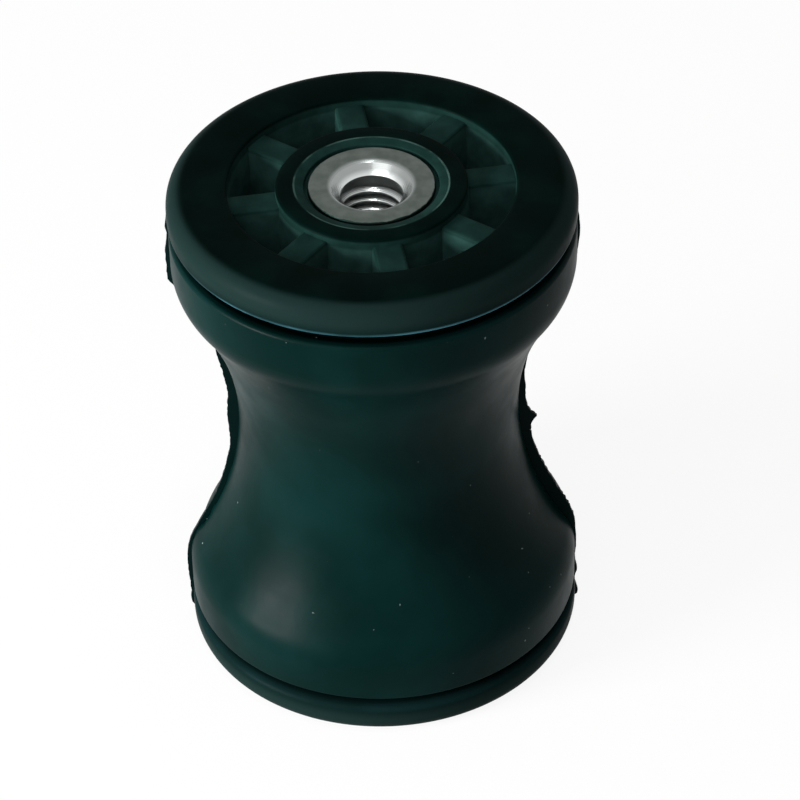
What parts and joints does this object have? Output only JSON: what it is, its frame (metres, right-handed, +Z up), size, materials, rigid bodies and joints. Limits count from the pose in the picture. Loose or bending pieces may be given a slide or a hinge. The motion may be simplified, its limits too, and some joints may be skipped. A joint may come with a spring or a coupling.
{
  "type": "hourglass rubber joint",
  "caption": "Waisted rubber body bonded between two round flanged end plates, each with a ribbed pocket ring round a hub with a blind threaded metal insert.",
  "frame": {"origin": "centre of the lower end plate's outer face, at the bottom of the whole part", "axes": "+Z up along the joint's axis, X across the rubber's mould parting plane, -Y towards the viewer of the picture"},
  "size_m": [0.046, 0.045, 0.0615],
  "materials": {
    "rubber": "moulded rubber, soft sheen",
    "plate_plastic": "moulded plastic, satin",
    "insert_metal": "turned, satin"
  },
  "bodies": {
    "lower_end": {"lower_end_plate": "plate_plastic", "lower_threaded_insert": "insert_metal", "rubber_body": "rubber"},
    "upper_end": {"upper_end_plate": "plate_plastic", "upper_threaded_insert": "insert_metal"}
  },
  "joints": [
    {"name": "lean", "type": "hinge", "parent": "lower_end", "child": "upper_end", "pos_m": [0, 0, 0.03075], "axis": [0, 1, 0], "range_deg": [-45, 45], "stiffness_Nm_per_rad": 4, "deforming": ["rubber_body"]}
  ]
}
